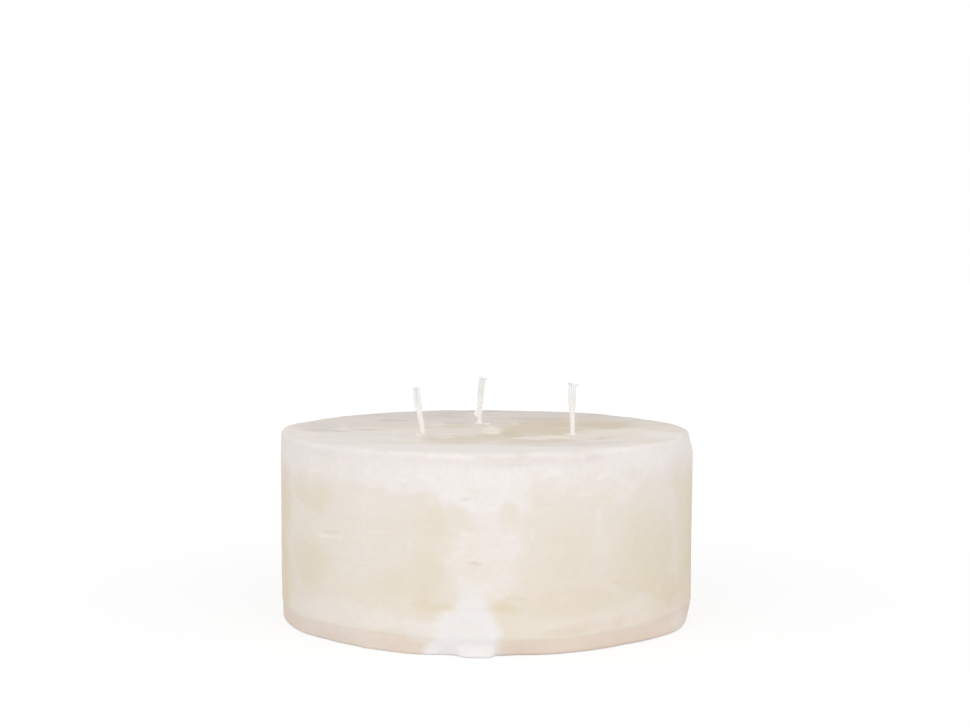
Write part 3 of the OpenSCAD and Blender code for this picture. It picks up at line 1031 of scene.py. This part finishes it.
def strand_forms(name, wick):
    """The three strands of a wick, each a tube lobed by its plies, with the bound and groove of every point.

    Radius = half the strand times 1 plus a small cosine, one wave to a ply, that twists along it. The groove is
    painted shade: 1 where a point comes close to another strand, and less between the plies. A blunt end is
    rounded, a frayed one is cut square.
    """
    line, along, across, aside, u, length = wick_line(name, wick)
    shift_a, shift_b, dry, half = strand_centres(name, wick)
    _, left, right, slope = WICK_ENDS[name]
    angle = angles_round(STRAND_SIDES)
    from_tip = (1 - u) * length
    twist = 2 * math.pi * (u * length)[:, None] / PLY_TWIST
    lobes = np.cos(PLIES * (angle - twist))
    bluntness = 0.5 - 0.4 * min(left + right, 1)
    half = half * (1 - bluntness * (1 - np.sqrt(1 - smooth(0.5, 0, from_tip) ** 2)))
    reach = half[:, None] * (1 + (0.02 + 0.05 * dry[:, None]) * lobes)
    forms, bound, groove = [], [], []
    for k in range(3):
        a = shift_a[k][:, None] + reach * np.cos(angle)
        b = shift_b[k][:, None] + reach * np.sin(angle)
        sloped = -slope * a * smooth(3, 0, from_tip)[:, None]
        grid = line[:, None] + a[..., None] * across[:, None] + b[..., None] * aside[:, None]
        forms.append(closed_form(grid + sloped[..., None] * along[:, None]))
        others = [np.hypot(a - shift_a[j][:, None], b - shift_b[j][:, None]) for j in range(3) if j != k]
        # Painted shade where strands press together and in the valleys between plies
        painted_contact_shade = 0.4 * smooth(0.3, 0.0, np.minimum(*others) - half[:, None])
        painted_ply_shade = 0.2 * dry[:, None] * (1 - lobes) / 2
        groove += [np.ravel(np.maximum(painted_contact_shade, painted_ply_shade)), (0, 0.5)]
        bound += [np.ravel(np.broadcast_to(1 - dry[:, None], a.shape)), (1, 0)]
    return forms, np.concatenate(bound), np.concatenate(groove)


def tube_grids(paths, radii, sides):
    """Rings round several short paths, by two directions square to each path that are turned round it."""
    along = np.gradient(paths, axis=1)
    along /= np.linalg.norm(along, axis=-1, keepdims=True)
    side = np.cross(along, (0.31, 0.93, 0.17))
    side /= np.linalg.norm(side, axis=-1, keepdims=True)
    other = np.cross(along, side)
    angle = angles_round(sides)[:, None]
    ring = np.cos(angle) * side[:, :, None] + np.sin(angle) * other[:, :, None]
    return paths[:, :, None] + radii[..., None, None] * ring


# A loose fibre: its height above its root, its half thickness at the root, its sides and its rings
FIBRE_RISE = 1.0
FIBRE_R = 0.15
FIBRE_SIDES = 5
FIBRE_RINGS = 8


def fibre_forms(name, wick, seed):
    """Loose fibres at a wick's cut end: quarters of ovals that rise from a strand and lie over to their side.

    They rise by the sine of the way and go out by 1 less its cosine, furthest to the side that frays most.
    """
    rng = np.random.default_rng(seed)
    line, along, across, aside, u, length = wick_line(name, wick)
    shift_a, shift_b = strand_centres(name, wick)[:2]
    _, left, right, slope = WICK_ENDS[name]
    count = 3 * wick.fibres
    strand = np.arange(count) % 3
    ring = np.searchsorted(u, 1 - FIBRE_RISE / length)
    spread = 0.45 * np.sqrt(rng.uniform(0, 1, count))
    angle = rng.uniform(0, 2 * math.pi, count)
    a = shift_a[strand, ring] + spread * np.cos(angle)
    b = shift_b[strand, ring] + spread * np.sin(angle)
    quarter = np.linspace(0, math.pi / 2, FIBRE_RINGS)
    reach = rng.uniform(0.45, 1.0, count)
    out_a = np.where(a > 0, right, -left) * reach * smooth(-0.2, 1.0, np.abs(a))
    out_b = 0.5 * (left + right) * reach * b / (np.abs(b) + 0.3)
    a_path = a[:, None] + out_a[:, None] * (1 - np.cos(quarter))
    b_path = b[:, None] + out_b[:, None] * (1 - np.cos(quarter))
    height = (FIBRE_RISE - rng.uniform(-0.05, 0.25, count))[:, None] * np.sin(quarter)
    height = height - slope * a_path * np.sin(quarter)
    paths = line[ring] + height[..., None] * along[ring]
    paths = paths + a_path[..., None] * across[ring] + b_path[..., None] * aside[ring]
    radii = FIBRE_R * np.sqrt(1 - 0.6 * np.sin(quarter)) * np.ones((count, 1))
    return [closed_form(grid) for grid in tube_grids(paths, radii, FIBRE_SIDES)]


def top_height(x, y):
    """Height of the candle's top at places on it."""
    p = np.stack(np.broadcast_arrays(x, y, TOP_Z), -1).astype(float)
    return TOP_Z + top_relief(p, top_marks(p))


# Sides and rings of a seal's rise, of a film of wax beside a wick, and of a crumb
SEAL_SIDES = 44
SEAL_RINGS = 22
FILM_SIDES = 16
FILM_RINGS = 18
CRUMB_SIDES = 18
CRUMB_RINGS = 11


def seal_grid(name, wick, seed):
    """Rings of a seal: up its plug, out under its thin edge, and in over the rise that climbs the wick.

    The rise goes in by the square of what is left of the way while it goes up by the way itself, to a height
    that is uneven round the wick. It comes out of the top a little inside its edge.
    """
    low = node_box("wick_seal_" + name)[0]
    x, y = wick_place(name)
    angle = angles_round(SEAL_SIDES)
    round_place = turned(3, angle, seed * 9.0)
    out_r = HOLE_R + 0.9 + 0.8 * clouds(round_place, 2.6, 2, 71)
    edge_z = top_height(x + out_r * np.sin(angle), y - out_r * np.cos(angle)) - 0.15
    line = wick_line(name, wick)[0]
    wick_r = wick.width / MM / 2 - 0.08
    climb = 1.1 + 1.0 * clouds(round_place, 1.6, 2, 72)
    rows = [(HOLE_R * share, low[2]) for share in (0.3, 1.0)]
    rows += [(HOLE_R, low[2] + (edge_z - 0.3 - low[2]) * share) for share in (0.4, 0.8, 1.0)]
    rows += [(out_r, edge_z - 0.25)]
    rise = np.linspace(0, 1, SEAL_RINGS)
    rows += [(wick_r + (out_r - wick_r) * (1 - t) ** 2, edge_z + climb * t) for t in rise]
    rows += [(wick_r * 0.4, edge_z + climb + 0.05)]
    radius, height = np.moveaxis(np.stack([ring_values(angle, *row) for row in rows]), -1, 0)
    centre = [np.interp(height, line[:, 2], line[:, axis]) for axis in (0, 1)]
    return turned(radius, angle, height) + np.stack([*centre, np.zeros(height.shape)], -1)


def film_grid(name, wick, film):
    """Torn film of wax beside a wick: a thin fin of oval section, from the wick's middle out to a bow."""
    toward, low, high, reach, half_thickness = film
    line = wick_line(name, wick)[0]
    t = np.linspace(0, 1, FILM_RINGS)
    height = TOP_Z + low + (high - low) * t
    out, aside = level_ways(toward)
    middle = np.stack([np.interp(height, line[:, 2], line[:, axis]) for axis in (0, 1, 2)], -1)
    far = (0.7 + reach * np.sin(math.pi * t) ** 0.8)[:, None, None]
    angle = angles_round(FILM_SIDES)[None, :, None]
    return middle[:, None] + far * (1 + np.cos(angle)) / 2 * out + half_thickness * np.sin(angle) * aside


def crumb_grid(crumb, seed):
    """Crumb of wax that lies on the top: a flattened round form whose skin is moved in and out by clouds."""
    x, y, half_x, half_y, half_z = crumb
    across = np.linspace(-math.pi, math.pi, CRUMB_SIDES, endpoint=False)
    up = np.radians(np.linspace(-80, 80, CRUMB_RINGS))[:, None]
    unit = turned(np.cos(up), across, np.sin(up))
    unit = unit * (1 + 0.9 * clouds(unit + 7 * seed, 0.9, 2, 81))[..., None]
    place = np.array([x, y, top_height(x, y) - 0.1])
    return place + unit * np.array([half_x, half_y, half_z])


def cotton_yarn(wick):
    """Cotton of the wicks: white where wax binds it, dry above, and painted shade, grey, deep between the
    strands.
    """
    material, tree, out = new_material("cotton_yarn")
    place = add_node(tree, "TexCoord").outputs["Object"]
    fuzz = noise_value(tree, place, scale=2600, detail=3)
    bound = attribute(tree, "bound")
    # Painted shade from the groove, broken by the fuzz
    deep = scaled(tree, maths(tree, "SUBTRACT", fuzz, 0.5), 0.6, attribute(tree, "groove"), clamp=True)
    dry = mixed(tree, deep, opaque(wick.cotton), opaque(wick.cotton_shade))
    add_surface(tree, out, fuzz, bump=0.2, depth=0.0001, inputs={
        "Base Color": mixed(tree, bound, dry, opaque(wick.bound_cotton)),
        "Roughness": scaled(tree, bound, gain=-0.4, more=0.85),
        "Specular IOR Level": 0.5,
        "Sheen Weight": 0.9,
    })
    return material


def bright_tinplate(wick):
    """Stamped tinplate: bright metal with fine rolling lines and cloudy dulling."""
    material, tree, out = new_material("bright_tinplate")
    place = add_node(tree, "TexCoord").outputs["Object"]
    rolled = add_node(tree, "Mapping", {"Vector": place, "Scale": (40, 2600, 400)}).outputs["Vector"]
    lines = noise_value(tree, rolled, scale=1, detail=2)
    dulling = noise_value(tree, place, scale=240, detail=3)
    dull_tone = tuple(0.72 * c for c in wick.tinplate)
    add_surface(tree, out, lines, bump=0.2, depth=0.00004, inputs={
        "Base Color": mixed(tree, dulling, opaque(wick.tinplate), opaque(dull_tone)),
        "Metallic": 1.0,
        "Roughness": scaled(tree, dulling, gain=0.3, more=0.2),
    })
    return material


def colour_of(name, description, *screen):
    """Colour setting, whose default is given as on screen, from 0 to 255."""
    return FloatVectorProperty(name=name, description=description, subtype="COLOR", default=srgb(*screen))


def length_of(name, description, metres):
    """Length setting."""
    return FloatProperty(name=name, description=description, unit="LENGTH", default=metres)


class CandleWax(PropertyGroup):
    """Colours and forms of the wax."""

    ivory: colour_of("Ivory", "Plain wax where it is lightest", 239, 231, 219)
    ivory_deep: colour_of("Deep ivory", "Plain wax where it is deepest", 232, 222, 207)
    # Amber and pool also colour the painted shade at the far left and right of the wall
    amber: colour_of("Amber", "Clear wax without frost", 229, 217, 192)
    pool: colour_of("Pool", "Clear wax in the middle of the top", 214, 197, 170)
    groove: colour_of("Groove", "Scraped grooves in the wall", 214, 200, 176)
    # Grey of streaks on the top, also the colour of painted shade on its far side and under the rim in front
    shade: colour_of("Shade", "Greyer wax in places on the top", 211, 202, 197)
    frost: colour_of("Frost", "White frost on the wax", 245, 239, 237)
    fleck: colour_of("Fleck", "Crests of the pale strokes", 253, 248, 243)
    # Cream of the flakes; on the ring in front it is painted light
    cream: colour_of("Cream", "Flakes and ring of cream wax on the top", 250, 238, 225)
    pour: colour_of("Pour", "White wax that ran down the wall", 242, 239, 239)
    base: colour_of("Base", "Second pour where it is lightest", 235, 221, 208)
    base_deep: colour_of("Deep base", "Second pour where it is deepest", 228, 212, 198)
    glow_depth: length_of("Glow depth", "How far light runs in the wax", 0.0012)
    rim_rounding: length_of("Rim rounding", "Rounding of the rim", 0.0021)
    trim_depth: length_of("Trim depth", "Wax trimmed off the rim on the right", 0.0016)
    trim_height: length_of("Trim height", "Height of the trimmed slope", 0.009)
    foot_rounding: length_of("Foot rounding", "Rounding of the foot's edge", 0.0012)
    foot_proud: length_of("Foot proud", "How far the foot band swells past its casting", 0.00035)
    columns: IntProperty(name="Columns", description="Points round a ring", default=560)
    wall_rings: IntProperty(name="Wall rings", description="Rings up the wall", default=90)
    top_rings: IntProperty(name="Top rings", description="Rings across the top", default=44)


class CandleWick(PropertyGroup):
    """Colours and forms of the wicks and their tabs."""

    cotton: colour_of("Cotton", "Dry cotton", 252, 252, 252)
    # Painted shade of the cotton, deep between the strands
    cotton_shade: colour_of("Cotton shade", "Cotton deep between the yarns", 222, 222, 224)
    bound_cotton: colour_of("Bound cotton", "Cotton soaked with wax", 254, 250, 248)
    tinplate: colour_of("Tinplate", "Stamped tab", 206, 207, 209)
    width: length_of("Width", "Width of the plait where wax binds it", 0.0021)
    thickness: length_of("Thickness", "Thickness of the plait where wax binds it", 0.0019)
    strand: length_of("Strand", "Diameter of each of the three strands", 0.00105)
    coat: length_of("Coat", "Wax on a strand where it is bound", 0.00027)
    pitch: length_of("Pitch", "Length in which a strand crosses over and back", 0.0046)
    rings: IntProperty(name="Rings", description="Rings along a strand", default=150)
    fibres: IntProperty(name="Fibres", description="Loose fibres at the end of a strand", default=26)


class CandleStage(PropertyGroup):
    """Camera, lamps and floor."""

    distance: length_of("Distance", "From the candle's axis to the camera", 0.6882)
    height: length_of("Height", "Camera above the floor", 0.1408)
    aside: length_of("Aside", "Camera to the right of the axis", -0.00043)
    dip: FloatProperty(
        name="Dip", description="How far the camera looks down", subtype="ANGLE", default=math.radians(4.079))
    lens: FloatProperty(name="Lens", description="Focal length of the camera, in millimetres", default=69.94)
    ambient: FloatProperty(name="Ambient", description="Light from all round", default=0.54)
    left_lamp: FloatProperty(
        name="Left lamp", description="Power of the lamp in front on the left, in watts", default=2.5)
    right_lamp: FloatProperty(
        name="Right lamp", description="Power of the lamp in front on the right, in watts", default=2.5)


class CANDLE_OT_pour_body(Operator):
    """Pour the mottled pillar with its trimmed rim"""

    bl_idname = "candle.pour_body"
    bl_label = "Pour body"

    def execute(self, context):
        wax = context.scene.candle_wax
        body = add_object("candle_body", *closed_form(body_grid(wax)))
        cut_wick_rooms(body, (
            (ROOM_END_R, LAP_Z - OVERCUT), (NECK_ROOM_R, LAP_Z - OVERCUT),
            (NECK_ROOM_R, TAB_HIGH[2] + ROOM_GAP), (HOLE_R, TAB_HIGH[2] + ROOM_GAP),
            (HOLE_R, TOP_Z + OVERCUT), (ROOM_END_R, TOP_Z + OVERCUT),
        ))
        for name, values in wax_marks(vertex_places(body)).items():
            set_attribute(body, name, values)
        finish_piece(body, mottled_wax(wax, "mottled_wax", WAX_GLOW), "wax", "wax_body")
        return {"FINISHED"}


class CANDLE_OT_pour_base(Operator):
    """Pour the darker layer that levels the foot"""

    bl_idname = "candle.pour_base"
    bl_label = "Pour base"

    def execute(self, context):
        wax = context.scene.candle_wax
        base = add_object("candle_base", *closed_form(base_grid(wax)))
        disc_r = (TAB_HIGH[0] - TAB_LOW[0]) / 2 + ROOM_GAP
        cut_wick_rooms(base, (
            (ROOM_END_R, -UNDERCUT), (disc_r, -UNDERCUT), (disc_r, DISC_ROOM_Z),
            (NECK_ROOM_R + 1, DISC_ROOM_Z), (NECK_ROOM_R, DISC_ROOM_Z + 1),
            (NECK_ROOM_R, LAP_Z + OVERCUT), (ROOM_END_R, LAP_Z + OVERCUT),
        ))
        places = vertex_places(base)
        pale_foot = patches(round_from_front(places), places[..., 2], FOOT_FROST)
        set_attribute(base, "run", np.maximum(wall_marks(places)["run"], pale_foot))
        finish_piece(base, base_wax(wax), "base_wax", "base_layer")
        return {"FINISHED"}


class CANDLE_OT_plait_wicks(Operator):
    """Plait the three wicks, with torn films of wax beside them, and fray their cut ends"""

    bl_idname = "candle.plait_wicks"
    bl_label = "Plait wicks"

    def execute(self, context):
        wick = context.scene.candle_wick
        yarn = cotton_yarn(wick)
        for seed, name in enumerate(WICK_NAMES):
            strands, bound, groove = strand_forms(name, wick)
            films = [closed_form(film_grid(name, wick, film)) for film in WICK_FILMS[name]]
            fibres = fibre_forms(name, wick, seed)
            piece = add_object("plaited_wick_" + name, *joined_forms(strands + films + fibres))
            film_points = sum(len(film[0]) for film in films)
            loose = len(piece.data.vertices) - len(bound) - film_points
            set_attribute(piece, "bound", np.concatenate([bound, np.ones(film_points), np.zeros(loose)]))
            set_attribute(piece, "groove", np.concatenate([groove, np.zeros(film_points), np.zeros(loose)]))
            finish_piece(piece, yarn, "cotton", "wick_" + name)
        return {"FINISHED"}


class CANDLE_OT_seal_wicks(Operator):
    """Seal the foot of each wick with pale wax, with crumbs beside it"""

    bl_idname = "candle.seal_wicks"
    bl_label = "Seal wicks"

    def execute(self, context):
        wick = context.scene.candle_wick
        wax = mottled_wax(context.scene.candle_wax, "seal_wax", 0)
        for seed, name in enumerate(WICK_NAMES):
            forms = [closed_form(seal_grid(name, wick, seed))]
            crumbs = [closed_form(crumb_grid(crumb, n)) for n, crumb in enumerate(WICK_CRUMBS[name])]
            piece = add_object("wick_foot_" + name, *joined_forms(forms + crumbs))
            is_crumb = np.arange(len(piece.data.vertices)) >= len(forms[0][0])
            for mark in WAX_MARKS:
                set_attribute(piece, mark, np.where(is_crumb, 0.5, 0.85) * (mark == "frost"))
            finish_piece(piece, wax, "seal_wax", "wick_seal_" + name)
        return {"FINISHED"}


class CANDLE_OT_finish_tabs(Operator):
    """Give the crimped tabs their tinplate"""

    bl_idname = "candle.finish_tabs"
    bl_label = "Finish tabs"

    def execute(self, context):
        tinplate = bright_tinplate(context.scene.candle_wick)
        for name in WICK_NAMES:
            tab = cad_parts["wick_tab_" + name]
            tab.data.materials.clear()
            tab.data.materials.append(tinplate)
        return {"FINISHED"}


class CANDLE_OT_set_stage(Operator):
    """Set the white floor and surroundings, the lamps and the camera"""

    bl_idname = "candle.set_stage"
    bl_label = "Set stage"

    def execute(self, context):
        stage = context.scene.candle_stage
        add_floor()
        add_world(stage)
        add_lamp("left_lamp", -LAMP_ASIDE, stage.left_lamp)
        add_lamp("right_lamp", LAMP_ASIDE, stage.right_lamp)
        add_camera(stage)
        context.scene.view_settings.view_transform = "Standard"
        return {"FINISHED"}


# Half the floor's side, and in metres a lamp's place, the point it looks at, and its side
FLOOR_HALF = 4000
LAMP_ASIDE = 0.89
LAMP_FORWARD = 1.06
LAMP_Z = 0.84
LAMP_AIM_Z = 0.04
LAMP_SIDE = 1.0
# Way from which most soft light comes, and how much it gains and the far way loses
SKY_WAY = (0, -0.643, 0.766)
SKY_GAIN = 0.9


def seen_directly(tree):
    """1 for rays from the camera and those that a shiny or clear piece sends on, and else 0."""
    path = add_node(tree, "LightPath").outputs
    seen = maths(tree, "MAXIMUM", path["Is Camera Ray"], path["Is Glossy Ray"])
    return maths(tree, "MAXIMUM", seen, path["Is Transmission Ray"])


def add_floor():
    """Broad white floor. The camera and reflections see it nearly white, with the shadow kept."""
    points = FLOOR_HALF * np.array([(-1, -1, 0), (1, -1, 0), (1, 1, 0), (-1, 1, 0)], float)
    floor = add_object("floor", points, np.array([[0, 1, 2, 3]]))
    material, tree, out = new_material("floor_white")
    lit = add_node(tree, "BsdfDiffuse", {"Color": opaque(srgb(246, 246, 246))})
    glow = add_node(tree, "Emission", {"Color": opaque((1, 1, 1)), "Strength": 1.05})
    place = add_node(tree, "TexCoord").outputs["Object"]
    distance = add_node(tree, "VectorMath", {0: place}, operation="LENGTH").outputs["Value"]
    ends = {"Value": distance, "From Min": 0.1, "From Max": 0.45, "To Min": 0.75, "To Max": 1.0}
    far = add_node(tree, "MapRange", ends, interpolation_type="SMOOTHSTEP")
    share = maths(tree, "MULTIPLY", seen_directly(tree), far.outputs["Result"])
    both = add_node(tree, "MixShader", {0: share, 1: lit.outputs[0], 2: glow.outputs[0]})
    tree.links.new(both.outputs[0], out.inputs["Surface"])
    floor.data.materials.append(material)


def add_world(stage):
    """White surroundings for the camera and for reflections, and soft light for everything else.

    The soft light's strength is the ambient times 1 plus a gain times the way's share towards the sky's way.
    """
    world = bpy.data.worlds.new("studio")
    world.use_nodes = True
    tree = world.node_tree
    tree.nodes.clear()
    ways = {0: add_node(tree, "TexCoord").outputs["Generated"], 1: SKY_WAY}
    ahead = add_node(tree, "VectorMath", ways, operation="DOT_PRODUCT").outputs["Value"]
    strength = scaled(tree, ahead, gain=SKY_GAIN * stage.ambient, more=stage.ambient)
    soft = add_node(tree, "Background", {"Color": opaque((1, 1, 1)), "Strength": strength})
    white = add_node(tree, "Background", {"Color": opaque((1, 1, 1)), "Strength": 1.0})
    both = add_node(tree, "MixShader", {0: seen_directly(tree), 1: soft.outputs[0], 2: white.outputs[0]})
    add_node(tree, "OutputWorld", {"Surface": both.outputs[0]})
    bpy.context.scene.world = world


def add_lamp(name, aside, power):
    """Square soft lamp in front of the candle and to one side, that looks at a point on the axis."""
    lamp = bpy.data.lights.new(name, "AREA")
    lamp.shape = "SQUARE"
    lamp.size = LAMP_SIDE
    lamp.energy = power
    holder = bpy.data.objects.new(name, lamp)
    bpy.context.scene.collection.objects.link(holder)
    holder.location = (aside, -LAMP_FORWARD, LAMP_Z)
    dip = math.atan2(math.hypot(aside, LAMP_FORWARD), LAMP_Z - LAMP_AIM_Z)
    holder.rotation_euler = (dip, 0, math.atan2(aside, LAMP_FORWARD))


def add_camera(stage):
    """Camera in front of the candle, a little above its top, dipped towards it."""
    camera = bpy.data.cameras.new("camera")
    camera.lens = stage.lens
    camera.sensor_width = 36
    camera.clip_start = 0.01
    holder = bpy.data.objects.new("camera", camera)
    holder.location = (stage.aside, -stage.distance, stage.height)
    holder.rotation_euler = (math.pi / 2 - stage.dip, 0, 0)
    bpy.context.scene.collection.objects.link(holder)
    bpy.context.scene.camera = holder


class CANDLE_PT_sidebar(Panel):
    """Steps that make the candle, in order"""

    bl_idname = "CANDLE_PT_sidebar"
    bl_label = "Pillar Candle"
    bl_space_type = "VIEW_3D"
    bl_region_type = "UI"
    bl_category = "Candle"

    def draw(self, context):
        for step in STEPS:
            self.layout.operator(step.bl_idname)
        for group in GROUPS:
            settings = getattr(context.scene, group)
            for name in settings.__annotations__:
                self.layout.prop(settings, name)


GROUPS = {"candle_wax": CandleWax, "candle_wick": CandleWick, "candle_stage": CandleStage}
STEPS = (
    CANDLE_OT_pour_body, CANDLE_OT_pour_base, CANDLE_OT_plait_wicks, CANDLE_OT_seal_wicks,
    CANDLE_OT_finish_tabs, CANDLE_OT_set_stage,
)


def register():
    """Registers the settings, the steps and the sidebar."""
    for cls in (*GROUPS.values(), *STEPS, CANDLE_PT_sidebar):
        bpy.utils.register_class(cls)
    for name, group in GROUPS.items():
        setattr(bpy.types.Scene, name, PointerProperty(type=group))


def unregister():
    """Takes everything that register adds away again."""
    for name in GROUPS:
        delattr(bpy.types.Scene, name)
    for cls in reversed((*GROUPS.values(), *STEPS, CANDLE_PT_sidebar)):
        bpy.utils.unregister_class(cls)


def main():
    register()
    bpy.ops.candle.pour_body()
    bpy.ops.candle.pour_base()
    bpy.ops.candle.plait_wicks()
    bpy.ops.candle.seal_wicks()
    bpy.ops.candle.finish_tabs()
    bpy.ops.candle.set_stage()


if __name__ == "__main__":
    main()
